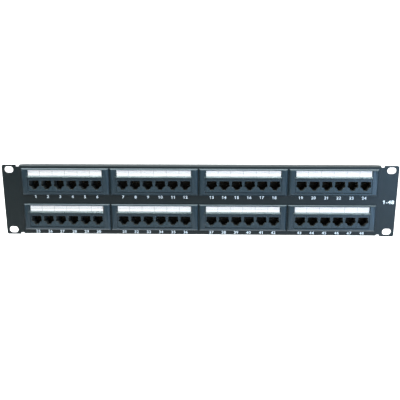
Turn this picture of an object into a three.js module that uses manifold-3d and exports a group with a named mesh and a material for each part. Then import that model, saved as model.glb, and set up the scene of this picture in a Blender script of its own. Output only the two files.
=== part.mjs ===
// A 19-inch, 2U network patch panel with 48 ports: a folded steel front panel that carries
// eight snap-in modules, each with six RJ45 sockets at the front and two rows of
// punch-down terminals at the back.
//
// Millimetres. The origin is the centre of the panel's rear face, the face that rests on
// the rack rails. +X runs along the width to the right as seen from the front, +Y points
// into the rack and +Z points up.

import * as THREE from "three";
import { ConvexGeometry } from "three/addons/geometries/ConvexGeometry.js";
import { mergeVertices } from "three/addons/utils/BufferGeometryUtils.js";
import Module from "manifold-3d";

// ---------------------------------------------------------------- driving dimensions

const CLEARANCE = 0.3; // between pieces that slide or snap together
const SEAT_GAP = 0.1; // between pieces that rest face to face
const CUT_MARGIN = 1; // how far a cutter runs past the face that it opens
const MERGE_DISTANCE = 1e-4; // vertices nearer to each other than this are one
const CURVE_STEPS = 6; // for each quarter or half turn, unless a piece has its own

const PANEL = {
  width: 482.6, // 19 inches
  height: 88.1, // two rack units, less the usual clearance
  thickness: 1.5,
  earCornerRadius: 2.5,
};

const FLANGE = {
  halfLength: 220, // the folded edge, from the middle of the panel to its end
  depth: 10, // from the panel's front face to the flange's rear edge
  bendRadius: 3, // outer radius
  cornerRadius: 6, // of the rear corners, in plan
  bendSteps: 6,
};

const BEND_NOTCH = { width: 3.8, depth: 2.2 }; // relief cut beside each end of a fold

const RACK_SLOT = {
  spacingX: 465.1, // centre to centre, EIA-310
  spacingZ: 76.2, // centre to centre, two rack units
  length: 11.0,
  height: 7.8,
  arcSteps: 8,
};

const PORT = { pitch: 15.36, perModule: 6 };

const MODULE = {
  columns: 4,
  rows: 2,
  pitchX: 108.97,
  pitchZ: 44.45, // one rack unit
  middleZ: 1.12, // height of the middle of the two rows
};

const BEZEL = {
  width: 107.5,
  height: 33.2,
  thickness: 3, // how far it stands in front of the panel
  chamferAcross: 2.0,
  chamferDeep: 2,
};

const WINDOW = { halfWidth: 46.3, bottom: -12.9, top: 14.5 };

const LABEL_POCKET = { depth: 1.8, bottom: 5.0 };

const COLLAR = { width: 103.4, height: 29.2, wall: 1.6 };

const SNAP_HOOK = { width: 6, reach: 1.5, length: 3, flat: 0.8, offsetZ: 8 };

const BOARD = { thickness: 1.6, halfWidth: 49.6, halfHeight: 12.5 };

const BOARD_CLIP = { width: 6, reach: 1.1, length: 1.6, flat: 0.5, offsetX: 25 };

const JACKS = {
  recess: 0.5, // of the jack face behind the bezel face
  bottom: -12.3,
  top: 4.7,
  depth: 15.6,
};

const SOCKET = {
  middleZ: -3.55,
  topHalf: 5.4, // half widths and heights of the outline, from its middle
  mainHalf: 6.05,
  shoulderHalf: 6.5,
  latchHalf: 3.75,
  notchHalf: 2.45,
  top: 5.1,
  cornerZ: 4.2,
  shoulderTop: 0.6,
  shoulderBottom: -1.7,
  bodyBottom: -2.8,
  latchBottom: -4.2,
  notchTop: -4.5,
  bottom: -6.1,
};

const IDC = {
  slots: 24, // eight for each of three ports
  slotWidth: 1.3,
  endWall: 1.4,
  height: 9.4,
  offsetZ: 6.6, // of each row from the module's middle
  base: 3.4, // from the circuit board to the bottom of a slot
  tallPost: 11.4,
  shortPost: 9.2,
};

const LABEL = { halfWidth: 45.2, bottom: 7.3, top: 14.3, thickness: 0.2 };

const COVER = {
  halfWidth: 45.9,
  top: 14.2,
  bottom: 5.2,
  thickness: 1.0,
  lipTop: 7.6,
  lipNose: 6.2, // height at which the lip stands furthest forward
  lipProud: 1.0, // in front of the bezel face
};

const COVER_TAB = { width: 1.5, bottom: 5.9, top: 7.5, front: 1.3, back: 0.3 };

// ---------------------------------------------------------------- derived planes

const FOLD_LINE = PANEL.height / 2 - FLANGE.bendRadius; // where a bend starts, in Z
const PANEL_FRONT = -PANEL.thickness;
const BEZEL_FRONT = PANEL_FRONT - BEZEL.thickness;
const JACK_FRONT = BEZEL_FRONT + JACKS.recess;
const JACK_BACK = JACK_FRONT + JACKS.depth;
const BOARD_FRONT = JACK_BACK + SEAT_GAP;
const BOARD_BACK = BOARD_FRONT + BOARD.thickness;
const IDC_FRONT = BOARD_BACK + SEAT_GAP;
const COLLAR_BACK = BOARD_BACK + BOARD_CLIP.length + CLEARANCE;

// ---------------------------------------------------------------- materials

const paint = (color, roughness, metalness = 0) =>
  new THREE.MeshStandardMaterial({ color, roughness, metalness });

const MATERIALS = {
  powderCoat: paint(0x32383c, 0.55, 0.2),
  housingPlastic: paint(0x3c4c57, 0.5),
  jackPlastic: paint(0x3e4a54, 0.45),
  boardLaminate: paint(0x1f5a38, 0.45),
  terminalPlastic: paint(0x20242a, 0.5),
  paper: paint(0xf6f6f4, 0.9),
  clearPlastic: paint(0xa9c2c4, 0.15),
};

// ---------------------------------------------------------------- solids

const wasm = await Module();
wasm.setup();

function solidFrom(geometry) {
  const bare = geometry.clone();
  bare.deleteAttribute("normal");
  bare.deleteAttribute("uv");
  const merged = mergeVertices(bare, MERGE_DISTANCE);
  return new wasm.Manifold(
    new wasm.Mesh({
      numProp: 3,
      vertProperties: new Float32Array(merged.attributes.position.array),
      triVerts: new Uint32Array(merged.index.array),
    }),
  );
}

function geometryFrom(solid) {
  const { vertProperties, triVerts } = solid.getMesh();
  const geometry = new THREE.BufferGeometry();
  geometry.setAttribute("position", new THREE.BufferAttribute(vertProperties, 3));
  geometry.setIndex(new THREE.BufferAttribute(triVerts, 1));
  geometry.computeVertexNormals();
  return geometry;
}

function block([x0, x1], [y0, y1], [z0, z1]) {
  const geometry = new THREE.BoxGeometry(x1 - x0, y1 - y0, z1 - z0);
  geometry.translate((x0 + x1) / 2, (y0 + y1) / 2, (z0 + z1) / 2);
  return solidFrom(geometry);
}

function extrude(shape, depth, curveSegments) {
  return new THREE.ExtrudeGeometry(shape, { depth, bevelEnabled: false, curveSegments });
}

// An outline drawn in X and Z, made solid between two planes of Y.
function alongY(shape, [y0, y1], curveSegments = CURVE_STEPS) {
  const geometry = extrude(shape, y1 - y0, curveSegments);
  geometry.rotateX(Math.PI / 2);
  geometry.translate(0, y1, 0);
  return solidFrom(geometry);
}

// A section drawn in Y and Z, made solid between two planes of X.
function alongX(shape, [x0, x1], curveSegments = CURVE_STEPS) {
  const geometry = extrude(shape, x1 - x0, curveSegments);
  const turn = new THREE.Matrix4().makeBasis(
    new THREE.Vector3(0, 1, 0),
    new THREE.Vector3(0, 0, 1),
    new THREE.Vector3(1, 0, 0),
  );
  geometry.applyMatrix4(turn);
  geometry.translate(x0, 0, 0);
  return solidFrom(geometry);
}

// An outline drawn in X and Y, made solid between two planes of Z.
function alongZ(shape, [z0, z1], curveSegments = CURVE_STEPS) {
  const geometry = extrude(shape, z1 - z0, curveSegments);
  geometry.translate(0, 0, z0);
  return solidFrom(geometry);
}

function polygon(points) {
  return new THREE.Shape(points.map(([a, b]) => new THREE.Vector2(a, b)));
}

function rectangle([a0, a1], [b0, b1]) {
  return polygon([
    [a0, b0],
    [a1, b0],
    [a1, b1],
    [a0, b1],
  ]);
}

// The same outline, turned over left to right and top to bottom where a sign is -1.
function turnedOver(shape, signA, signB, curveSegments = CURVE_STEPS) {
  return polygon(shape.getPoints(curveSegments).map(({ x, y }) => [signA * x, signB * y]));
}

const ascending = (values) => [...values].sort((a, b) => a - b);
const addAll = (solids) => solids.reduce((sum, next) => sum.add(next));
const cutAll = (body, cutters) => cutters.reduce((rest, cutter) => rest.subtract(cutter), body);

// ---------------------------------------------------------------- front panel

function roundedPlate(halfWidth, halfHeight, radius) {
  const shape = new THREE.Shape();
  shape.absarc(halfWidth - radius, halfHeight - radius, radius, 0, Math.PI / 2);
  shape.absarc(radius - halfWidth, halfHeight - radius, radius, Math.PI / 2, Math.PI);
  shape.absarc(radius - halfWidth, radius - halfHeight, radius, Math.PI, 1.5 * Math.PI);
  shape.absarc(halfWidth - radius, radius - halfHeight, radius, 1.5 * Math.PI, 2 * Math.PI);
  shape.closePath();
  return shape;
}

function rackSlot(side, level) {
  const x = (side * RACK_SLOT.spacingX) / 2;
  const z = (level * RACK_SLOT.spacingZ) / 2;
  const radius = RACK_SLOT.height / 2;
  const run = RACK_SLOT.length / 2 - radius;
  const shape = new THREE.Shape();
  shape.absarc(x + run, z, radius, -Math.PI / 2, Math.PI / 2);
  shape.absarc(x - run, z, radius, Math.PI / 2, 1.5 * Math.PI);
  shape.closePath();
  return alongY(shape, [PANEL_FRONT - CUT_MARGIN, CUT_MARGIN], RACK_SLOT.arcSteps);
}

// The strip of flat plate beyond a fold line, whose place the bend takes.
function foldedStrip(level) {
  const rows = ascending([level * FOLD_LINE, level * (PANEL.height / 2 + CUT_MARGIN)]);
  const depth = [PANEL_FRONT - CUT_MARGIN, CUT_MARGIN];
  return block([-FLANGE.halfLength, FLANGE.halfLength], depth, rows);
}

function bendNotch(side, level) {
  const edge = PANEL.height / 2;
  const inner = side * FLANGE.halfLength;
  const outer = side * (FLANGE.halfLength + BEND_NOTCH.width);
  const rows = ascending([level * (edge - BEND_NOTCH.depth), level * (edge + CUT_MARGIN)]);
  return block(ascending([inner, outer]), [PANEL_FRONT - CUT_MARGIN, CUT_MARGIN], rows);
}

// A folded edge, level 1 at the top and -1 at the bottom: the bend, and the flange that
// runs back from it.
function foldedEdge(level) {
  const edge = PANEL.height / 2;
  const innerRadius = FLANGE.bendRadius - PANEL.thickness;
  const centreY = PANEL_FRONT + FLANGE.bendRadius;
  const rearEdge = PANEL_FRONT + FLANGE.depth;
  const section = new THREE.Shape();
  section.moveTo(0, FOLD_LINE - CUT_MARGIN);
  section.lineTo(0, FOLD_LINE);
  section.absarc(centreY, FOLD_LINE, innerRadius, Math.PI, Math.PI / 2, true);
  section.lineTo(rearEdge, edge - PANEL.thickness);
  section.lineTo(rearEdge, edge);
  section.absarc(centreY, FOLD_LINE, FLANGE.bendRadius, Math.PI / 2, Math.PI, false);
  section.lineTo(PANEL_FRONT, FOLD_LINE - CUT_MARGIN);
  const shape = turnedOver(section, 1, level, FLANGE.bendSteps);
  const fold = alongX(shape, [-FLANGE.halfLength, FLANGE.halfLength]);
  return cutAll(fold, [-1, 1].map((side) => flangeCorner(side, level, rearEdge)));
}

// What rounding takes away from a rear corner of the flange.
function flangeCorner(side, level, rearEdge) {
  const radius = FLANGE.cornerRadius;
  const centreX = FLANGE.halfLength - radius;
  const centreY = rearEdge - radius;
  const shape = new THREE.Shape();
  shape.moveTo(FLANGE.halfLength + CUT_MARGIN, centreY);
  shape.lineTo(FLANGE.halfLength + CUT_MARGIN, rearEdge + CUT_MARGIN);
  shape.lineTo(centreX, rearEdge + CUT_MARGIN);
  shape.absarc(centreX, centreY, radius, Math.PI / 2, 0, true);
  const rows = ascending([level * FOLD_LINE, level * (PANEL.height / 2 + CUT_MARGIN)]);
  return alongZ(turnedOver(shape, side, 1), rows);
}

function moduleCutout({ x, z }) {
  const halfWidth = COLLAR.width / 2 + CLEARANCE;
  const halfHeight = COLLAR.height / 2 + CLEARANCE;
  const columns = [x - halfWidth, x + halfWidth];
  const rows = [z - halfHeight, z + halfHeight];
  return block(columns, [PANEL_FRONT - CUT_MARGIN, CUT_MARGIN], rows);
}

function frontPanel(places) {
  const corners = [
    [-1, -1],
    [-1, 1],
    [1, -1],
    [1, 1],
  ];
  const outline = roundedPlate(PANEL.width / 2, PANEL.height / 2, PANEL.earCornerRadius);
  const plate = alongY(outline, [PANEL_FRONT, 0]);
  const cut = cutAll(plate, [
    ...[-1, 1].map(foldedStrip),
    ...corners.map(([side, level]) => bendNotch(side, level)),
    ...corners.map(([side, level]) => rackSlot(side, level)),
    ...places.map(moduleCutout),
  ]);
  return addAll([cut, foldedEdge(1), foldedEdge(-1)]);
}

// ---------------------------------------------------------------- module housing

// The bezel's outer form: a plate whose front edges are chamfered all round.
function chamferedPlate() {
  const ring = (inset, y) =>
    [-1, 1].flatMap((sideX) =>
      [-1, 1].map(
        (sideZ) =>
          new THREE.Vector3(
            sideX * (BEZEL.width / 2 - inset),
            y,
            sideZ * (BEZEL.height / 2 - inset),
          ),
      ),
    );
  const points = [
    ...ring(BEZEL.chamferAcross, BEZEL_FRONT),
    ...ring(0, BEZEL_FRONT + BEZEL.chamferDeep),
    ...ring(0, PANEL_FRONT - SEAT_GAP),
  ];
  return solidFrom(new ConvexGeometry(points));
}

function collar() {
  const [halfX, halfZ] = [COLLAR.width / 2, COLLAR.height / 2];
  const front = PANEL_FRONT - CUT_MARGIN; // inside the bezel, which it joins
  const outer = block([-halfX, halfX], [front, COLLAR_BACK], [-halfZ, halfZ]);
  const inner = block(
    [COLLAR.wall - halfX, halfX - COLLAR.wall],
    [front - CUT_MARGIN, COLLAR_BACK + CUT_MARGIN],
    [COLLAR.wall - halfZ, halfZ - COLLAR.wall],
  );
  return outer.subtract(inner);
}

// A wedge on the collar's end wall that snaps behind the edge of the panel's cutout.
function snapHook(side, offsetZ) {
  const root = side * (COLLAR.width / 2 - COLLAR.wall);
  const tip = side * (COLLAR.width / 2 + SNAP_HOOK.reach);
  const section = [
    [root, SEAT_GAP],
    [tip, SEAT_GAP],
    [tip, SEAT_GAP + SNAP_HOOK.flat],
    [root, SEAT_GAP + SNAP_HOOK.length],
  ];
  const half = SNAP_HOOK.width / 2;
  return alongZ(polygon(section), [offsetZ - half, offsetZ + half]);
}

// A small catch inside the collar's rear edge that holds the circuit board.
function boardClip(offsetX, level) {
  const wall = level * (COLLAR.height / 2 - COLLAR.wall);
  const tip = wall - level * BOARD_CLIP.reach;
  const start = BOARD_BACK + SEAT_GAP;
  const section = [
    [start, wall + level * (COLLAR.wall / 2)],
    [start, tip],
    [start + BOARD_CLIP.flat, tip],
    [start + BOARD_CLIP.length, wall + level * (COLLAR.wall / 2)],
  ];
  const half = BOARD_CLIP.width / 2;
  return alongX(polygon(section), [offsetX - half, offsetX + half]);
}

function moduleHousing() {
  const windowX = [-WINDOW.halfWidth, WINDOW.halfWidth];
  const through = [BEZEL_FRONT - CUT_MARGIN, PANEL_FRONT + CUT_MARGIN];
  const pocket = [BEZEL_FRONT - CUT_MARGIN, BEZEL_FRONT + LABEL_POCKET.depth];
  const jackWindow = block(windowX, through, [WINDOW.bottom, LABEL_POCKET.bottom]);
  const labelPocket = block(windowX, pocket, [LABEL_POCKET.bottom - CUT_MARGIN, WINDOW.top]);
  const bezel = cutAll(chamferedPlate(), [jackWindow, labelPocket]);
  const catches = [-1, 1].flatMap((level) =>
    [-1, 1].flatMap((side) => [
      snapHook(side, level * SNAP_HOOK.offsetZ),
      boardClip(side * BOARD_CLIP.offsetX, level),
    ]),
  );
  return addAll([bezel, collar(), ...catches]);
}

// ---------------------------------------------------------------- jacks

// Half of a socket's outline, from its top edge round to the latch notch.
function socketSide(side) {
  return [
    [side * SOCKET.topHalf, SOCKET.top],
    [side * SOCKET.mainHalf, SOCKET.cornerZ],
    [side * SOCKET.mainHalf, SOCKET.shoulderTop],
    [side * SOCKET.shoulderHalf, SOCKET.shoulderTop],
    [side * SOCKET.shoulderHalf, SOCKET.shoulderBottom],
    [side * SOCKET.latchHalf, SOCKET.bodyBottom],
    [side * SOCKET.latchHalf, SOCKET.latchBottom],
    [side * SOCKET.notchHalf, SOCKET.notchTop],
    [side * SOCKET.notchHalf, SOCKET.bottom],
  ];
}

function socketHole(index) {
  const x = (index - (PORT.perModule - 1) / 2) * PORT.pitch;
  const outline = [...socketSide(1), ...socketSide(-1).reverse()];
  return new THREE.Path(outline.map(([dx, dz]) => new THREE.Vector2(x + dx, SOCKET.middleZ + dz)));
}

function jackBlock() {
  const halfWidth = (PORT.pitch * PORT.perModule) / 2;
  const shape = rectangle([-halfWidth, halfWidth], [JACKS.bottom, JACKS.top]);
  for (let index = 0; index < PORT.perModule; index += 1) {
    shape.holes.push(socketHole(index));
  }
  return alongY(shape, [JACK_FRONT, JACK_BACK]);
}

// ---------------------------------------------------------------- rear of a module

function circuitBoard() {
  return block(
    [-BOARD.halfWidth, BOARD.halfWidth],
    [BOARD_FRONT, BOARD_BACK],
    [-BOARD.halfHeight, BOARD.halfHeight],
  );
}

// A punch-down row: a comb whose posts stand between the wires. Every second post is
// taller, because it parts one pair from the next.
function idcBlock(level) {
  const pitch = (PORT.pitch * PORT.perModule) / IDC.slots;
  const firstSlot = (-pitch * (IDC.slots - 1)) / 2;
  const end = -firstSlot + IDC.slotWidth / 2 + IDC.endWall;
  const outline = [
    [end, IDC_FRONT],
    [end, IDC_FRONT + IDC.tallPost],
  ];
  for (let slot = IDC.slots - 1; slot >= 0; slot -= 1) {
    const x = firstSlot + slot * pitch;
    const rightTop = IDC_FRONT + (slot % 2 ? IDC.tallPost : IDC.shortPost);
    const leftTop = IDC_FRONT + (slot % 2 ? IDC.shortPost : IDC.tallPost);
    const floor = IDC_FRONT + IDC.base;
    outline.push([x + IDC.slotWidth / 2, rightTop]);
    outline.push([x + IDC.slotWidth / 2, floor]);
    outline.push([x - IDC.slotWidth / 2, floor]);
    outline.push([x - IDC.slotWidth / 2, leftTop]);
  }
  outline.push([-end, IDC_FRONT + IDC.tallPost], [-end, IDC_FRONT]);
  const middle = level * IDC.offsetZ;
  return alongZ(polygon(outline), [middle - IDC.height / 2, middle + IDC.height / 2]);
}

// ---------------------------------------------------------------- label and its cover

function labelStrip() {
  const back = BEZEL_FRONT + LABEL_POCKET.depth - SEAT_GAP;
  const columns = [-LABEL.halfWidth, LABEL.halfWidth];
  return block(columns, [back - LABEL.thickness, back], [LABEL.bottom, LABEL.top]);
}

// A clear strip with a sloping lip along its lower edge, and a finger tab at its left end.
function labelCover() {
  const front = BEZEL_FRONT + SEAT_GAP;
  const back = front + COVER.thickness;
  const nose = BEZEL_FRONT - COVER.lipProud;
  const section = polygon([
    [back, COVER.bottom],
    [back, COVER.top],
    [front, COVER.top],
    [front, COVER.lipTop],
    [nose, COVER.lipNose],
    [nose, COVER.bottom],
  ]);
  const strip = alongX(section, [-COVER.halfWidth, COVER.halfWidth]);
  const tab = block(
    [-COVER.halfWidth - COVER_TAB.width, CUT_MARGIN - COVER.halfWidth],
    [BEZEL_FRONT - COVER_TAB.front, BEZEL_FRONT - COVER_TAB.back],
    [COVER_TAB.bottom, COVER_TAB.top],
  );
  return strip.add(tab);
}

// ---------------------------------------------------------------- assembly

function modulePlaces() {
  const places = [];
  for (let row = 0; row < MODULE.rows; row += 1) {
    for (let column = 0; column < MODULE.columns; column += 1) {
      places.push({
        name: `module_${row * MODULE.columns + column + 1}`,
        x: (column - (MODULE.columns - 1) / 2) * MODULE.pitchX,
        z: MODULE.middleZ + ((MODULE.rows - 1) / 2 - row) * MODULE.pitchZ,
      });
    }
  }
  return places;
}

function namedMesh(name, geometry, material) {
  const mesh = new THREE.Mesh(geometry, material);
  mesh.name = name;
  return mesh;
}

const MODULE_PIECES = [
  ["housing", geometryFrom(moduleHousing()), MATERIALS.housingPlastic],
  ["jack_block", geometryFrom(jackBlock()), MATERIALS.jackPlastic],
  ["circuit_board", geometryFrom(circuitBoard()), MATERIALS.boardLaminate],
  ["idc_upper", geometryFrom(idcBlock(1)), MATERIALS.terminalPlastic],
  ["idc_lower", geometryFrom(idcBlock(-1)), MATERIALS.terminalPlastic],
  ["label_strip", geometryFrom(labelStrip()), MATERIALS.paper],
  ["label_cover", geometryFrom(labelCover()), MATERIALS.clearPlastic],
];

function patchModule({ name, x, z }) {
  const group = new THREE.Group();
  for (const [piece, geometry, material] of MODULE_PIECES) {
    group.add(namedMesh(`${name}_${piece}`, geometry, material));
  }
  group.position.set(x, 0, z);
  return group;
}

const places = modulePlaces();
const patchPanel = new THREE.Group();
patchPanel.add(namedMesh("front_panel", geometryFrom(frontPanel(places)), MATERIALS.powderCoat));
for (const place of places) {
  patchPanel.add(patchModule(place));
}

export default patchPanel;
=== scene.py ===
"""A 2U, 48-port network patch panel in a plain white studio.

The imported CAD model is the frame. Most pieces are finer copies of its nodes, with rounded
edges, and the rest are the small pieces that the CAD leaves out: contacts, printed
numbers, solder joints and the colour marks of the wire pairs. Metres; +X along the width,
+Y into the rack, +Z up.
"""

import math

import bmesh
import bpy
from mathutils import Matrix, Vector


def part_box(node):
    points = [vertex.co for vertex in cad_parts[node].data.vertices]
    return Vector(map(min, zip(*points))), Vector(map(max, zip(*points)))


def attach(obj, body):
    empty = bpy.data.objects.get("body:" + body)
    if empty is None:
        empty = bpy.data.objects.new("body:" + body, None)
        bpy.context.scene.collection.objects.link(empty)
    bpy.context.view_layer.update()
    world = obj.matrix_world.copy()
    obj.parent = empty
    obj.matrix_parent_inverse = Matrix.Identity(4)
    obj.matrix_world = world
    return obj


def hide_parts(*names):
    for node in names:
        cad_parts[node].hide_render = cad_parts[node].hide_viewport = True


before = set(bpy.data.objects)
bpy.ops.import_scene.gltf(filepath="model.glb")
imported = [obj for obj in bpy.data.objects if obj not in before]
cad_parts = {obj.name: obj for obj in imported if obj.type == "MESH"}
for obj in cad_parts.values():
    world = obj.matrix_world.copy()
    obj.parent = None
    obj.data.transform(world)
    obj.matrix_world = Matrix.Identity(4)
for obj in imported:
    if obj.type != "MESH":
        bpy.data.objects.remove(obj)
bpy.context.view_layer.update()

MM = 0.001
ROOT = "panel"
MODULES = [f"module_{number}" for number in range(1, 9)]
PATTERN = MODULES[0]  # the modules are alike, so one mesh of each piece serves them all
PORTS_PER_MODULE = 6
PORT_PITCH = 15.36 * MM


def spread(count, pitch):
    """Places along X, evenly spaced about zero."""
    return [(index - (count - 1) / 2) * pitch for index in range(count)]


PORT_OFFSETS = spread(PORTS_PER_MODULE, PORT_PITCH)


# ---------------------------------------------------------------- places from the frame

def centre_of(node):
    low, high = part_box(node)
    return Vector([(a + b) / 2 for a, b in zip(low, high)])


def module_origin(module):
    """The middle of a module's housing in X and Z, on the panel's rear face."""
    middle = centre_of(f"{module}_housing")
    return Vector((middle.x, 0, middle.z))


def module_box(piece_name):
    """The corners of a piece of the first module, from the module's origin."""
    return [Vector(corner) - ORIGINS[PATTERN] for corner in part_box(f"{PATTERN}_{piece_name}")]


ORIGINS = {module: module_origin(module) for module in MODULES}
PANEL_LOW, PANEL_HIGH = (Vector(corner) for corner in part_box("front_panel"))
PANEL_FRONT = PANEL_LOW.y
BEZEL_LOW = module_box("housing")[0]
JACK_LOW, JACK_HIGH = module_box("jack_block")
BOARD_BACK = module_box("circuit_board")[1].y
LABEL_LOW, LABEL_HIGH = module_box("label_strip")
IDC_LOW, IDC_HIGH = module_box("idc_upper")


# ---------------------------------------------------------------- material nodes

NOISE_SPAN = (0.3, 0.7)  # where nearly all of a noise texture's values lie


class Shader:
    """A Principled material, and short ways to feed its sockets."""

    def __init__(self, name, colour, roughness, specular=0.5, metallic=0.0, alpha=1.0):
        self.material = bpy.data.materials.new(name)
        self.material.use_nodes = True
        self.nodes = self.material.node_tree.nodes
        self.links = self.material.node_tree.links
        self.surface = self.nodes["Principled BSDF"]
        self.surface.inputs["Base Color"].default_value = (*colour, 1)
        self.surface.inputs["Roughness"].default_value = roughness
        self.surface.inputs["Specular IOR Level"].default_value = specular
        self.surface.inputs["Metallic"].default_value = metallic
        self.surface.inputs["Alpha"].default_value = alpha
        self.place = self.nodes.new("ShaderNodeTexCoord").outputs["Object"]

    def noise(self, scale, detail=3.0, stretch=(1, 1, 1)):
        mapping = self.nodes.new("ShaderNodeMapping")
        mapping.inputs["Scale"].default_value = stretch
        self.links.new(self.place, mapping.inputs["Vector"])
        texture = self.nodes.new("ShaderNodeTexNoise")
        texture.inputs["Scale"].default_value = scale
        texture.inputs["Detail"].default_value = detail
        self.links.new(mapping.outputs["Vector"], texture.inputs["Vector"])
        return texture.outputs["Fac"]

    def colour_between(self, factor, dark, light):
        """Base colour runs from dark to light over the middle of the factor's range."""
        ramp = self.nodes.new("ShaderNodeValToRGB")
        stops = ramp.color_ramp.elements
        for stop, position, colour in zip(stops, NOISE_SPAN, (dark, light)):
            stop.position = position
            stop.color = (*colour, 1)
        self.links.new(factor, ramp.inputs["Fac"])
        self.links.new(ramp.outputs["Color"], self.surface.inputs["Base Color"])

    def roughness_between(self, factor, low, high):
        span = self.nodes.new("ShaderNodeMapRange")
        span.inputs["From Min"].default_value = NOISE_SPAN[0]
        span.inputs["From Max"].default_value = NOISE_SPAN[1]
        span.inputs["To Min"].default_value = low
        span.inputs["To Max"].default_value = high
        self.links.new(factor, span.inputs["Value"])
        self.links.new(span.outputs["Result"], self.surface.inputs["Roughness"])

    def bump(self, height, strength, distance):
        node = self.nodes.new("ShaderNodeBump")
        node.inputs["Strength"].default_value = strength
        node.inputs["Distance"].default_value = distance
        self.links.new(height, node.inputs["Height"])
        self.links.new(node.outputs["Normal"], self.surface.inputs["Normal"])


def shade(colour, factor):
    return tuple(min(1.0, channel * factor) for channel in colour)


def moulded(name, colour, roughness, specular=0.5):
    """Moulded plastic: a fine even grain and a slow drift of tone."""
    shader = Shader(name, colour, roughness, specular)
    drift = shader.noise(28.0, 2.0)
    shader.colour_between(drift, shade(colour, 0.92), shade(colour, 1.08))
    shader.roughness_between(shader.noise(220.0), roughness - 0.05, roughness + 0.05)
    shader.bump(shader.noise(1600.0, 2.0), 0.18, 0.05 * MM)
    return shader.material


def powder_coat():
    """Baked powder on steel: an even, slightly pebbled film."""
    colour = (0.0045, 0.0075, 0.008)
    shader = Shader("powder_coat", colour, 0.4, 0.22)
    drift = shader.noise(14.0, 4.0)
    shader.colour_between(drift, shade(colour, 0.85), shade(colour, 1.18))
    shader.roughness_between(shader.noise(400.0), 0.36, 0.46)
    shader.bump(shader.noise(1300.0, 3.0), 0.35, 0.08 * MM)
    return shader.material


def paper():
    """White card with a fine, slightly upright fibre."""
    shader = Shader("label_card", (0.84, 0.75, 0.7), 0.85, 0.2)
    shader.colour_between(shader.noise(900.0, 5.0), (0.83, 0.74, 0.69), (0.85, 0.76, 0.71))
    shader.bump(shader.noise(2500.0, 4.0, (1, 1, 0.4)), 0.12, 0.02 * MM)
    return shader.material


def clear_plastic(name, colour, alpha, roughness):
    """Clear plastic as a thin veil, with the slow waves of a moulded window."""
    shader = Shader(name, colour, roughness, 0.6, alpha=alpha)
    shader.roughness_between(shader.noise(150.0), roughness * 0.8, roughness * 1.3)
    shader.bump(shader.noise(60.0, 2.0), 0.1, 0.05 * MM)
    return shader.material


def metal(name, colour, roughness):
    """Plated metal, drawn and handled: tone and gloss vary a little."""
    shader = Shader(name, colour, roughness, metallic=1.0)
    shader.colour_between(shader.noise(700.0), shade(colour, 0.86), shade(colour, 1.1))
    shader.roughness_between(shader.noise(1200.0), roughness * 0.8, roughness * 1.3)
    return shader.material


def ink(name, colour):
    """A printed or painted mark, slightly uneven in its cover."""
    shader = Shader(name, colour, 0.55, 0.3)
    shader.colour_between(shader.noise(1800.0, 4.0), shade(colour, 0.86), shade(colour, 1.08))
    shader.bump(shader.noise(2400.0), 0.1, 0.02 * MM)
    return shader.material


def solder_mask():
    """Green lacquer over copper: the traces show as slightly lighter, raised runs."""
    colour = (0.012, 0.075, 0.035)
    shader = Shader("solder_mask", colour, 0.32, 0.5)
    stretch = shader.nodes.new("ShaderNodeMapping")
    stretch.inputs["Scale"].default_value = (1, 1, 2.4)
    turn = shader.nodes.new("ShaderNodeMapping")
    turn.inputs["Rotation"].default_value = (math.pi / 2, 0, 0)
    runs = shader.nodes.new("ShaderNodeTexBrick")
    runs.inputs["Scale"].default_value = 260.0
    runs.inputs["Mortar Size"].default_value = 0.03
    shader.links.new(shader.place, stretch.inputs["Vector"])
    shader.links.new(stretch.outputs["Vector"], turn.inputs["Vector"])
    shader.links.new(turn.outputs["Vector"], runs.inputs["Vector"])
    shader.colour_between(runs.outputs["Fac"], colour, shade(colour, 1.7))
    shader.bump(runs.outputs["Fac"], 0.3, 0.04 * MM)
    return shader.material


MATERIALS = {
    "panel": powder_coat(),
    "bezel": moulded("bezel_plastic", (0.007, 0.016, 0.022), 0.36, 0.4),
    "jack": moulded("jack_plastic", (0.011, 0.021, 0.027), 0.4, 0.32),
    "socket": moulded("socket_lining", (0.03, 0.03, 0.027), 0.6, 0.15),
    "carrier": moulded("carrier_plastic", (0.03, 0.027, 0.02), 0.6, 0.15),
    "terminal": moulded("terminal_plastic", (0.014, 0.016, 0.019), 0.45),
    "board": solder_mask(),
    "paper": paper(),
    "cover": clear_plastic("cover_window", (0.2, 0.24, 0.24), 0.05, 0.12),
    "lip": clear_plastic("cover_lip", (0.03, 0.045, 0.045), 0.85, 0.3),
    # the contact gold is much darker than bright plating: painted shade of the wires deep inside
    # the sockets
    "gold": metal("contact_gold_painted_shade", (0.22, 0.14, 0.06), 0.42),
    "tin": metal("contact_tin", (0.66, 0.66, 0.64), 0.32),
    "numbers": ink("number_ink", (0.72, 0.76, 0.78)),
    "ruling": ink("ruling_ink", (0.28, 0.21, 0.18)),
}
PAIR_COLOURS = {
    "blue": ink("pair_blue", (0.02, 0.08, 0.42)),
    "orange": ink("pair_orange", (0.75, 0.2, 0.015)),
    "green": ink("pair_green", (0.02, 0.28, 0.06)),
    "brown": ink("pair_brown", (0.16, 0.06, 0.02)),
}


# ---------------------------------------------------------------- mesh tools

WELD = 1e-3 * MM  # vertices closer than this are one
FLAT = math.radians(0.5)  # faces that meet at less than this are one
SMOOTH_DEGREES = 28  # an edge where the surface turns by less than this is shaded smooth


def add_piece(name, mesh, materials, body=ROOT, place=Vector()):
    piece = bpy.data.objects.new(name, mesh)
    bpy.context.scene.collection.objects.link(piece)
    piece.location = place
    if not mesh.materials:
        for material in materials:
            mesh.materials.append(material)
    bpy.context.view_layer.update()
    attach(piece, body)
    return piece


def shaded(work, name, smooth_degrees):
    """The mesh that work holds, smooth wherever it turns by less than an angle."""
    bmesh.ops.recalc_face_normals(work, faces=work.faces)
    mesh = bpy.data.meshes.new(name)
    work.to_mesh(mesh)
    work.free()
    mesh.shade_smooth()
    mesh.set_sharp_from_angle(angle=math.radians(smooth_degrees))
    return mesh


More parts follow.
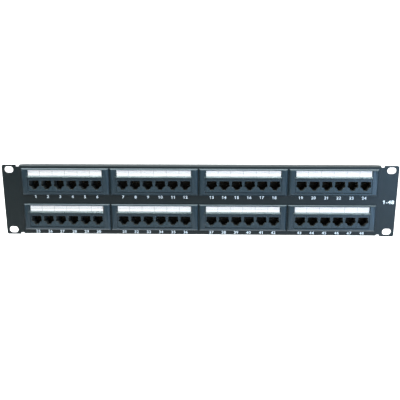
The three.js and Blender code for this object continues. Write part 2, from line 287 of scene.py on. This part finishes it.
def mesh_from(name, build, smooth_degrees=SMOOTH_DEGREES):
    """A mesh that the function build fills through bmesh."""
    work = bmesh.new()
    build(work)
    return shaded(work, name, smooth_degrees)


def add_rings(work, rings):
    """Faces between the rings of vertices in a list, and over its two ends."""
    sides = len(rings[0])
    for one, two in zip(rings, rings[1:]):
        for side in range(sides):
            other = (side + 1) % sides
            work.faces.new((one[side], one[other], two[other], two[side]))
    work.faces.new(rings[0])
    work.faces.new(rings[-1])


def circle(sides):
    """The angles of a ring's vertices."""
    return [2 * math.pi * side / sides for side in range(sides)]


def merge_flat_faces(work):
    bmesh.ops.remove_doubles(work, verts=work.verts, dist=WELD)
    bmesh.ops.dissolve_limit(work, angle_limit=FLAT, verts=work.verts, edges=work.edges)


def add_box(work, low, high):
    """A box between two corners. Returns its vertices."""
    size = Vector(high) - Vector(low)
    middle = (Vector(high) + Vector(low)) / 2
    matrix = Matrix.Translation(middle) @ Matrix.Diagonal((*size, 1))
    return bmesh.ops.create_cube(work, size=1, matrix=matrix)["verts"]


def add_box_about(work, x, half, depths, heights):
    """A box that reaches half either way from x. Returns its vertices."""
    return add_box(work, (x - half, depths[0], heights[0]), (x + half, depths[1], heights[1]))


def round_edges(work, width, segments=2, chosen=None, least_degrees=25):
    """Rounds the edges that turn by more than an angle, or those of them that chosen picks."""
    edges = [
        edge
        for edge in work.edges
        if len(edge.link_faces) == 2
        and edge.calc_face_angle(0) > math.radians(least_degrees)
        and (chosen is None or chosen(edge))
    ]
    bmesh.ops.bevel(
        work,
        geom=edges,
        offset=width,
        segments=segments,
        profile=0.5,
        affect="EDGES",
        clamp_overlap=True,
    )


def node_mesh(node, origin):
    """The solid of a CAD node as clean faces, moved so that origin is at zero."""
    work = bmesh.new()
    work.from_mesh(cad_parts[node].data)
    work.transform(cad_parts[node].matrix_world)
    bmesh.ops.translate(work, verts=work.verts, vec=-origin)
    merge_flat_faces(work)
    return work


def module_mesh(piece_name):
    """The solid of a piece of the first module, from the module's origin."""
    return node_mesh(f"{PATTERN}_{piece_name}", ORIGINS[PATTERN])


def evaluated(thing):
    """The mesh of an object with its modifiers applied. The object is removed."""
    mesh = bpy.data.meshes.new_from_object(
        thing.evaluated_get(bpy.context.evaluated_depsgraph_get())
    )
    bpy.data.objects.remove(thing)
    return mesh


def finished(work, name):
    """The mesh, shaded so that broad faces stay flat between their rounded edges."""
    holder = bpy.data.objects.new(name, shaded(work, name, SMOOTH_DEGREES))
    bpy.context.scene.collection.objects.link(holder)
    weigh = holder.modifiers.new("weigh", "WEIGHTED_NORMAL")
    weigh.mode = "FACE_AREA"
    weigh.weight = 100
    weigh.keep_sharp = True
    return evaluated(holder)


def for_each_module(piece_name, mesh, materials, node_name=None):
    """One copy of a mesh in every module. It may replace one of the module's CAD nodes."""
    for module in MODULES:
        piece = add_piece(
            f"{module}_{piece_name}", mesh, materials, ROOT, ORIGINS[module]
        )
        if node_name:
            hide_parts(f"{module}_{node_name}")


def restyle(node_name, material):
    """Gives a CAD node of every module its final material."""
    for module in MODULES:
        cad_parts[f"{module}_{node_name}"].material_slots[0].material = material


def at_y(edge, y, tolerance=0.02 * MM):
    return all(abs(vert.co.y - y) < tolerance for vert in edge.verts)


# ---------------------------------------------------------------- front panel

COATED_ROUNDING = 0.22 * MM  # of the powder-coated steel's cut edges


def make_panel():
    work = node_mesh("front_panel", Vector())
    round_edges(work, COATED_ROUNDING, least_degrees=50)
    mesh = finished(work, "panel_plate")
    piece = add_piece("panel_plate", mesh, [MATERIALS["panel"]])
    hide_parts("front_panel")


# ---------------------------------------------------------------- printed numbers

# Height, how much bolder than the plain type, and letter spacing.
NUMBER_TYPE = {"height": 3.5 * MM, "weight": 0.06 * MM, "spacing": 1.08}
EAR_TYPE = {"height": 4.6 * MM, "weight": 0.1 * MM, "spacing": 1.1}
NUMBER_DROP = 19.0 * MM  # from a module's middle down to the middle of its numbers
NUMBER_STRETCH = 1.12
NUMBER_THICKNESS = 0.03 * MM
EAR_ROOT = 222 * MM  # where the ear begins, from the panel's middle
EAR_TYPE_DROP = 0.6 * MM
FIGURE_SHARE = 0.7  # of the type size, about a figure's height
# The flag of a figure one, in parts of the figure's height, from the stem's upper left corner.
FLAG_OUTLINE = [(0, -0.02), (-0.2, -0.2), (-0.2, -0.36), (0, -0.22)]


def islands(work):
    """The separate parts of a mesh as sets of vertices, from left to right."""
    left = set(work.verts)
    parts = []
    while left:
        part, waiting = set(), [left.pop()]
        while waiting:
            vert = waiting.pop()
            part.add(vert)
            near = {edge.other_vert(vert) for edge in vert.link_edges} & left
            left -= near
            waiting.extend(near)
        parts.append(part)
    return sorted(parts, key=lambda part: min(vert.co.x for vert in part))


def add_flags(mesh, words):
    """Gives every figure one, which is a plain bar in this font, its flag."""
    work = bmesh.new()
    work.from_mesh(mesh)
    bmesh.ops.remove_doubles(work, verts=work.verts, dist=WELD)
    bars = [part for letter, part in zip(words, islands(work)) if letter == "1"]
    for bar in bars:
        left = min(vert.co.x for vert in bar)
        top = max(vert.co.y for vert in bar)
        height = top - min(vert.co.y for vert in bar)
        front, back = (
            [work.verts.new((left + x * height, top + y * height, z)) for x, y in FLAG_OUTLINE]
            for z in (NUMBER_THICKNESS, -NUMBER_THICKNESS)
        )
        work.faces.new(front)
        work.faces.new(back)
        for index in range(len(FLAG_OUTLINE)):
            work.faces.new((front[index - 1], front[index], back[index], back[index - 1]))
    work.to_mesh(mesh)
    work.free()


def text_mesh(words, height, weight, spacing):
    """Words as a mesh in the XZ plane, facing -Y, centred on zero."""
    curve = bpy.data.curves.new(words, "FONT")
    curve.body = words
    curve.size = height / FIGURE_SHARE
    curve.offset = weight
    curve.space_character = spacing
    curve.extrude = NUMBER_THICKNESS
    curve.resolution_u = 4
    maker = bpy.data.objects.new(words, curve)
    bpy.context.scene.collection.objects.link(maker)
    mesh = evaluated(maker)
    add_flags(mesh, words)
    corners = [vert.co for vert in mesh.vertices]
    low = Vector([min(corner[axis] for corner in corners) for axis in range(3)])
    high = Vector([max(corner[axis] for corner in corners) for axis in range(3)])
    scale = height / (high.y - low.y)
    mesh.transform(Matrix.Translation(-(low + high) / 2))
    mesh.transform(Matrix.Diagonal((scale * NUMBER_STRETCH, scale, 1, 1)))
    mesh.transform(Matrix.Rotation(math.pi / 2, 4, "X"))
    return mesh


def join_mesh(work, mesh, place):
    """Adds a mesh to work at a place, and removes it."""
    mesh.transform(Matrix.Translation(place))
    work.from_mesh(mesh)
    bpy.data.meshes.remove(mesh)


def make_numbers():
    work = bmesh.new()
    face = PANEL_FRONT - NUMBER_THICKNESS
    for index, module in enumerate(MODULES):
        origin = ORIGINS[module]
        for port, offset in enumerate(PORT_OFFSETS):
            words = str(index * PORTS_PER_MODULE + port + 1)
            place = Vector((origin.x + offset, face, origin.z - NUMBER_DROP))
            join_mesh(work, text_mesh(words, **NUMBER_TYPE), place)
    ear_middle = (PANEL_HIGH.x + EAR_ROOT) / 2
    place = Vector((ear_middle, face, -EAR_TYPE_DROP))
    join_mesh(work, text_mesh("1-48", **EAR_TYPE), place)
    bmesh.ops.remove_doubles(work, verts=work.verts, dist=WELD / 10)
    mesh = finished(work, "port_numbers")
    add_piece("port_numbers", mesh, [MATERIALS["numbers"]])


# ---------------------------------------------------------------- module housings

CHAMFER = 2.0 * MM  # across the bezel's bevel
WINDOW_TOP = 14.5 * MM  # the window all but meets the bevel there
EDGE_REACH = 0.05 * MM
MOULDED_ROUNDING = 0.12 * MM
BEVEL_ROUNDING = 0.24 * MM


def make_housings():
    work = module_mesh("housing")
    half_width, half_height = -BEZEL_LOW.x, -BEZEL_LOW.z

    def in_bevel(vert):
        across = min(half_width - abs(vert.co.x), half_height - abs(vert.co.z))
        return across < CHAMFER + EDGE_REACH / 2 and vert.co.y < PANEL_FRONT

    def at_window_top(edge):
        inner = half_height - CHAMFER
        return all(
            WINDOW_TOP - EDGE_REACH < vert.co.z < inner + EDGE_REACH for vert in edge.verts
        ) and at_y(edge, BEZEL_LOW.y)

    def on_bevel(edge):
        return all(in_bevel(vert) for vert in edge.verts) and not at_window_top(edge)

    def elsewhere(edge):
        return not any(in_bevel(vert) for vert in edge.verts) and not at_window_top(edge)

    round_edges(work, MOULDED_ROUNDING, 2, elsewhere, least_degrees=30)
    round_edges(work, BEVEL_ROUNDING, 3, on_bevel, least_degrees=30)
    mesh = finished(work, "module_bezel")
    for_each_module("bezel", mesh, [MATERIALS["bezel"]], "housing")


# ---------------------------------------------------------------- jacks

SEAM_WIDTH = 0.1 * MM
SEAM_DEPTH = 0.3 * MM
BETWEEN_PORTS = [(left + right) / 2 for left, right in zip(PORT_OFFSETS, PORT_OFFSETS[1:])]


def cut_seams(mesh):
    """Grooves between neighbouring sockets, cut by a boolean."""
    def build(work):
        depths = (JACK_LOW.y - MM, JACK_LOW.y + SEAM_DEPTH)
        heights = (JACK_LOW.z - MM, JACK_HIGH.z + MM)
        for x in BETWEEN_PORTS:
            add_box_about(work, x, SEAM_WIDTH / 2, depths, heights)

    body = bpy.data.objects.new("seam_body", mesh)
    cutter = bpy.data.objects.new("seam_cutter", mesh_from("seam_cutter", build))
    for thing in (body, cutter):
        bpy.context.scene.collection.objects.link(thing)
    cut = body.modifiers.new("seams", "BOOLEAN")
    cut.operation = "DIFFERENCE"
    cut.solver = "EXACT"
    cut.object = cutter
    result = evaluated(body)
    bpy.data.objects.remove(cutter)
    return result


def lines_a_socket(face):
    """Whether a face of the jack block is one of a socket's inner walls."""
    middle = face.calc_center_median()
    along_y = abs(face.normal.y) < 0.2
    runs_deep = along_y and middle.y > JACK_LOW.y + SEAM_DEPTH
    at_the_side = min(middle.x - JACK_LOW.x, JACK_HIGH.x - middle.x) < SEAM_WIDTH
    at_the_edge = min(middle.z - JACK_LOW.z, JACK_HIGH.z - middle.z) < SEAM_WIDTH
    return runs_deep and not at_the_side and not at_the_edge


def make_jacks():
    rough = finished(module_mesh("jack_block"), "jack_rough")
    work = bmesh.new()
    work.from_mesh(cut_seams(rough))
    merge_flat_faces(work)
    round_edges(work, MOULDED_ROUNDING, 2, lambda edge: at_y(edge, JACK_LOW.y))
    for face in work.faces:
        face.material_index = int(lines_a_socket(face))
    mesh = finished(work, "module_jacks")
    materials = [MATERIALS["jack"], MATERIALS["socket"]]
    for_each_module("jacks", mesh, materials, "jack_block")


SOCKET_MIDDLE = -3.55 * MM
SOCKET_TOP = SOCKET_MIDDLE + 5.1 * MM
SOCKET_BOTTOM = SOCKET_MIDDLE - 6.1 * MM
WIRE_PITCH = 1.02 * MM
WIRES_PER_PORT = 8
WIRE_SIZE = 0.42 * MM
WIRE_BEND = 0.5 * MM  # radius of the turn at the front of a wire
WIRE_TURN = [math.radians(degrees) for degrees in range(0, 151, 25)]  # points along it
WIRE_ROOF_GAP = 0.5 * MM  # from the socket's roof down to a wire's middle
WIRE_FRONT = 9.0 * MM  # depths, from the jack's face
WIRE_BACK = 13.7 * MM
WIRE_TIP = 12.6 * MM
WIRE_DROP = 5.2 * MM  # from the socket's roof down to a wire's tip

# The boxes of a carrier: half a box's width, then its depths and its heights.
CARRIER_BACK = JACK_HIGH.y - 0.1 * MM
CARRIER_BLOCK = {
    "half": 5.8 * MM,
    "depths": (JACK_LOW.y + 13.6 * MM, CARRIER_BACK),
    "heights": (SOCKET_BOTTOM + 3.4 * MM, SOCKET_TOP - 0.9 * MM),
}
CARRIER_FOOT = {
    "half": 3.3 * MM,
    "depths": (JACK_LOW.y + 13.8 * MM, CARRIER_BACK),
    "heights": (SOCKET_BOTTOM + 0.2 * MM, SOCKET_BOTTOM + 3.5 * MM),
}
CARRIER_RIB = {
    "half": 0.2 * MM,
    "depths": (JACK_LOW.y + 11.2 * MM, JACK_LOW.y + 13.8 * MM),
    "heights": (SOCKET_TOP - 5.6 * MM, SOCKET_TOP - 1.0 * MM),
}


def make_carriers():
    """The block behind each socket that the contact wires are moulded into."""
    def build(work):
        for offset in PORT_OFFSETS:
            add_box_about(work, offset, **CARRIER_BLOCK)
            add_box_about(work, offset, **CARRIER_FOOT)
            for place in spread(WIRES_PER_PORT + 1, WIRE_PITCH):
                add_box_about(work, offset + place, **CARRIER_RIB)

    mesh = mesh_from("module_contact_carriers", build)
    for_each_module("contact_carriers", mesh, [MATERIALS["carrier"]])


def wire_route(offset):
    """One spring wire: forward along the roof of the socket, round, and back down."""
    face = JACK_LOW.y
    level = SOCKET_TOP - WIRE_ROOF_GAP
    turn = [
        Vector((
            offset,
            face + WIRE_FRONT - WIRE_BEND * math.sin(angle),
            level - WIRE_BEND + WIRE_BEND * math.cos(angle),
        ))
        for angle in WIRE_TURN
    ]
    start = Vector((offset, face + WIRE_BACK, level))
    end = Vector((offset, face + WIRE_TIP, SOCKET_TOP - WIRE_DROP))
    return [start, *turn, end]


def add_tube(work, route, size, sides=6):
    """A tube along a route that lies in a plane of constant X."""
    rings = []
    for index, point in enumerate(route):
        before = route[max(index - 1, 0)]
        after = route[min(index + 1, len(route) - 1)]
        along = (after - before).normalized()
        across = Vector((1, 0, 0))
        up = along.cross(across)
        rings.append([
            work.verts.new(
                point + (across * math.cos(turn) + up * math.sin(turn)) * size / 2
            )
            for turn in circle(sides)
        ])
    add_rings(work, rings)


def make_contacts():
    """The eight sprung wires in every socket."""
    def build(work):
        for offset in PORT_OFFSETS:
            for place in spread(WIRES_PER_PORT, WIRE_PITCH):
                add_tube(work, wire_route(offset + place), WIRE_SIZE)

    mesh = mesh_from("module_contacts", build, smooth_degrees=50)
    for_each_module("contacts", mesh, [MATERIALS["gold"]])


# ---------------------------------------------------------------- labels and covers

RULING_WIDTH = 0.3 * MM
RULING_THICKNESS = 0.01 * MM
LABEL_MARGIN = 0.1 * MM  # bare card beyond the ends of the lines


def make_labels():
    """The strips are CAD nodes. Lines between the ports and along the middle are new."""
    restyle("label_strip", MATERIALS["paper"])

    def build(work):
        back = LABEL_LOW.y
        front = back - RULING_THICKNESS
        half = RULING_WIDTH / 2
        heights = (LABEL_LOW.z + LABEL_MARGIN, LABEL_HIGH.z - LABEL_MARGIN)
        for x in BETWEEN_PORTS:
            add_box_about(work, x, half, (front, back), heights)
        middle = (LABEL_LOW.z + LABEL_HIGH.z) / 2
        ends = [LABEL_LOW.x + LABEL_MARGIN, *BETWEEN_PORTS, LABEL_HIGH.x - LABEL_MARGIN]
        for left, right in zip(ends, ends[1:]):
            add_box(work, (left + half, front, middle - half), (right - half, back, middle + half))

    mesh = mesh_from("module_label_ruling", build)
    for_each_module("label_ruling", mesh, [MATERIALS["ruling"]])


COVER_ROUNDING = 0.18 * MM
LIP_OVERLAP = 0.1 * MM  # how far the lip reaches up over the label


def make_covers():
    """Clear over the label, and tinted where the plastic is thick, along the lip."""
    work = module_mesh("label_cover")
    round_edges(work, COVER_ROUNDING, 3, least_degrees=20)
    lip_top = LABEL_LOW.z + LIP_OVERLAP
    for face in work.faces:
        face.material_index = int(face.calc_center_median().z < lip_top)
    mesh = finished(work, "label_lens")
    for module in MODULES:
        piece = add_piece(
            f"{module}_lens",
            mesh,
            [MATERIALS["cover"], MATERIALS["lip"]],
            f"{module}_cover",
            ORIGINS[module],
        )
        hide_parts(f"{module}_label_cover")


# ---------------------------------------------------------------- rear of the modules

IDC_SLOTS = 24
IDC_PITCH = PORT_PITCH * PORTS_PER_MODULE / IDC_SLOTS
IDC_ROW_OFFSETS = {
    "upper": (IDC_LOW.z + IDC_HIGH.z) / 2,
    "lower": -(IDC_LOW.z + IDC_HIGH.z) / 2,
}
IDC_SHORT_DROP = 2.2 * MM  # how much lower every second post stands
IDC_SLOT_OFFSETS = spread(IDC_SLOTS, IDC_PITCH)
POST_CHAMFER = 0.85 * MM
POST_ROUNDING = 0.1 * MM


def make_terminal_rows():
    """The punch-down rows, with chamfered posts that lead the wires in."""
    tops = (IDC_HIGH.y, IDC_HIGH.y - IDC_SHORT_DROP)
    for row in IDC_ROW_OFFSETS:
        work = module_mesh(f"idc_{row}")
        round_edges(work, POST_CHAMFER, 1, lambda edge: any(at_y(edge, top) for top in tops))
        round_edges(work, POST_ROUNDING, 1, least_degrees=60)
        mesh = finished(work, f"module_terminals_{row}")
        for_each_module(
            f"terminals_{row}", mesh, [MATERIALS["terminal"]], f"idc_{row}"
        )


# A slitting contact's prongs: their sides' distances from the slot's middle, half their
# thickness, their length, and how much lower their inner corners are.
PRONG = {
    "inner": 0.12 * MM,
    "outer": 0.6 * MM,
    "half": 0.2 * MM,
    "length": 4.6 * MM,
    "slope": 0.7 * MM,
}
PRONG_ROOT = 3.3 * MM  # from the board to where the prongs begin


def add_prong(work, slot, side, middle):
    """One prong, on the side -1 or 1 of a slot's middle."""
    root = IDC_LOW.y + PRONG_ROOT
    inner = slot + side * PRONG["inner"]
    outer = slot + side * PRONG["outer"]
    verts = add_box(
        work,
        (min(inner, outer), root, middle - PRONG["half"]),
        (max(inner, outer), root + PRONG["length"], middle + PRONG["half"]),
    )
    for vert in verts:
        if vert.co.y > root + WELD and abs(vert.co.x - inner) < WELD:
            vert.co.y -= PRONG["slope"]


def make_terminal_contacts():
    """Two tinned prongs in every wire slot."""
    def build(work):
        for middle in IDC_ROW_OFFSETS.values():
            for slot in IDC_SLOT_OFFSETS:
                for side in (-1, 1):
                    add_prong(work, slot, side, middle)

    mesh = mesh_from("module_terminal_contacts", build)
    for_each_module("terminal_contacts", mesh, [MATERIALS["tin"]])


MARK_HALF_WIDTH = 0.38 * MM
MARK_HALF_HEIGHT = 3.2 * MM
MARK_SUNK = 0.05 * MM  # into the post
MARK_PROUD = 0.12 * MM


def make_pair_marks():
    """A stripe of the pair's colour on the low post between the two wires of a pair."""
    work = bmesh.new()
    top = IDC_HIGH.y - IDC_SHORT_DROP
    depths = (top - MARK_SUNK, top + MARK_PROUD)
    for middle in IDC_ROW_OFFSETS.values():
        heights = (middle - MARK_HALF_HEIGHT, middle + MARK_HALF_HEIGHT)
        for pair in range(IDC_SLOTS // 2):
            x = sum(IDC_SLOT_OFFSETS[2 * pair:2 * pair + 2]) / 2
            verts = add_box_about(work, x, MARK_HALF_WIDTH, depths, heights)
            for face in {face for vert in verts for face in vert.link_faces}:
                face.material_index = pair % len(PAIR_COLOURS)
    mesh = finished(work, "module_pair_marks")
    for_each_module("pair_marks", mesh, list(PAIR_COLOURS.values()))


PIN_PITCH = 1.27 * MM
PIN_ROW_OFFSET = 0.9 * MM  # the pins stand in two rows, this far from the middle
# A solder joint's profile in millimetres: radius and height.
SOLDER = [(0.62, 0.0), (0.45, 0.16), (0.27, 0.42), (0.22, 0.8), (0.1, 0.95)]


def make_boards():
    """The boards are CAD nodes. The jacks' solder joints between the rows are new."""
    restyle("circuit_board", MATERIALS["board"])

    def build(work):
        for offset in PORT_OFFSETS:
            for pin, place in enumerate(spread(WIRES_PER_PORT, PIN_PITCH)):
                z = PIN_ROW_OFFSET if pin % 2 else -PIN_ROW_OFFSET
                add_solder_joint(work, Vector((offset + place, BOARD_BACK, z)))

    mesh = mesh_from("module_solder", build, smooth_degrees=60)
    for_each_module("solder", mesh, [MATERIALS["tin"]])


def add_solder_joint(work, place, sides=8):
    """A small fillet of solder round a pin: a stack of shrinking rings."""
    rings = [
        [
            work.verts.new(
                place
                + Vector((math.cos(turn) * radius, height, math.sin(turn) * radius)) * MM
            )
            for turn in circle(sides)
        ]
        for radius, height in SOLDER
    ]
    add_rings(work, rings)


# ---------------------------------------------------------------- studio

FLOOR_DROP = 180 * MM  # from the panel's lower edge to the floor
SWEEP = {"front": -9.0, "bend": 1.2, "radius": 0.8, "top": 3.0, "half": 9.0}  # metres
SWEEP_STEPS = 12
CAMERA_LENS = 41.56  # millimetres, as is the sensor
CAMERA_SENSOR = 36
CAMERA_PLACE = Vector((15.24, -554.94, 121.70)) * MM  # both from the plate's front face
CAMERA_AIM = Vector((1.85, 0, 1.02)) * MM


def make_backdrop():
    """A pale floor that curves up into a wall behind the object."""
    floor = PANEL_LOW.z - FLOOR_DROP
    bend, radius = SWEEP["bend"], SWEEP["radius"]
    profile = [(SWEEP["front"], floor), (bend, floor)]
    profile += [
        (bend + radius * math.sin(turn), floor + radius * (1 - math.cos(turn)))
        for turn in (math.pi / 2 * (step + 1) / SWEEP_STEPS for step in range(SWEEP_STEPS))
    ]
    profile.append((bend + radius, SWEEP["top"]))

    def build(work):
        left, right = (
            [work.verts.new((side * SWEEP["half"], y, z)) for y, z in profile] for side in (-1, 1)
        )
        for index in range(len(profile) - 1):
            work.faces.new((left[index], right[index], right[index + 1], left[index + 1]))

    mesh = mesh_from("backdrop", build, smooth_degrees=60)
    shader = Shader("backdrop_white", (0.86, 0.86, 0.86), 0.9, 0.1)
    mesh.materials.append(shader.material)
    backdrop = bpy.data.objects.new("backdrop", mesh)
    bpy.context.scene.collection.objects.link(backdrop)


def add_light(name, place, aim, size, power, colour=(1, 1, 1)):
    light = bpy.data.lights.new(name, "AREA")
    light.shape = "RECTANGLE"
    light.size, light.size_y = size
    light.energy = power
    light.color = colour
    lamp = bpy.data.objects.new(name, light)
    lamp.visible_camera = False
    bpy.context.scene.collection.objects.link(lamp)
    lamp.location = place
    lamp.rotation_euler = (Vector(aim) - Vector(place)).to_track_quat("-Z", "Y").to_euler()


def make_lights():
    """Soft boxes above, to the right and behind, one for the wall, and an even sky."""
    add_light("overhead", (0, -0.18, 0.5), (0, 0, 0), (1.1, 0.24), 12.5, (0.82, 0.97, 1.0))
    add_light("side", (0.8, -0.9, -0.1), (0.2, 0, 0), (0.5, 0.6), 14, (0.4, 0.65, 1.0))
    add_light("rear", (-0.8, 0.6, 0.1), (0, 0, 0), (0.5, 0.5), 5)
    add_light("wall", (0, 0.5, 1.9), (0, 2.0, 0.2), (3.0, 0.8), 115)
    world = bpy.data.worlds.new("studio")
    world.use_nodes = True
    background = world.node_tree.nodes["Background"]
    background.inputs["Color"].default_value = (1, 1, 1, 1)
    background.inputs["Strength"].default_value = 0.36
    bpy.context.scene.world = world
    bpy.context.scene.view_settings.view_transform = "Standard"


def make_camera():
    camera = bpy.data.cameras.new("camera")
    camera.sensor_width = CAMERA_SENSOR
    camera.lens = CAMERA_LENS
    holder = bpy.data.objects.new("camera", camera)
    bpy.context.scene.collection.objects.link(holder)
    holder.location = CAMERA_PLACE + Vector((0, PANEL_FRONT, 0))
    direction = CAMERA_AIM - CAMERA_PLACE
    holder.rotation_euler = direction.to_track_quat("-Z", "Y").to_euler()
    bpy.context.scene.camera = holder


# ---------------------------------------------------------------- the whole scene

make_camera()
make_panel()
make_numbers()
make_housings()
make_jacks()
make_carriers()
make_contacts()
make_labels()
make_covers()
make_terminal_rows()
make_terminal_contacts()
make_pair_marks()
make_boards()
make_backdrop()
make_lights()
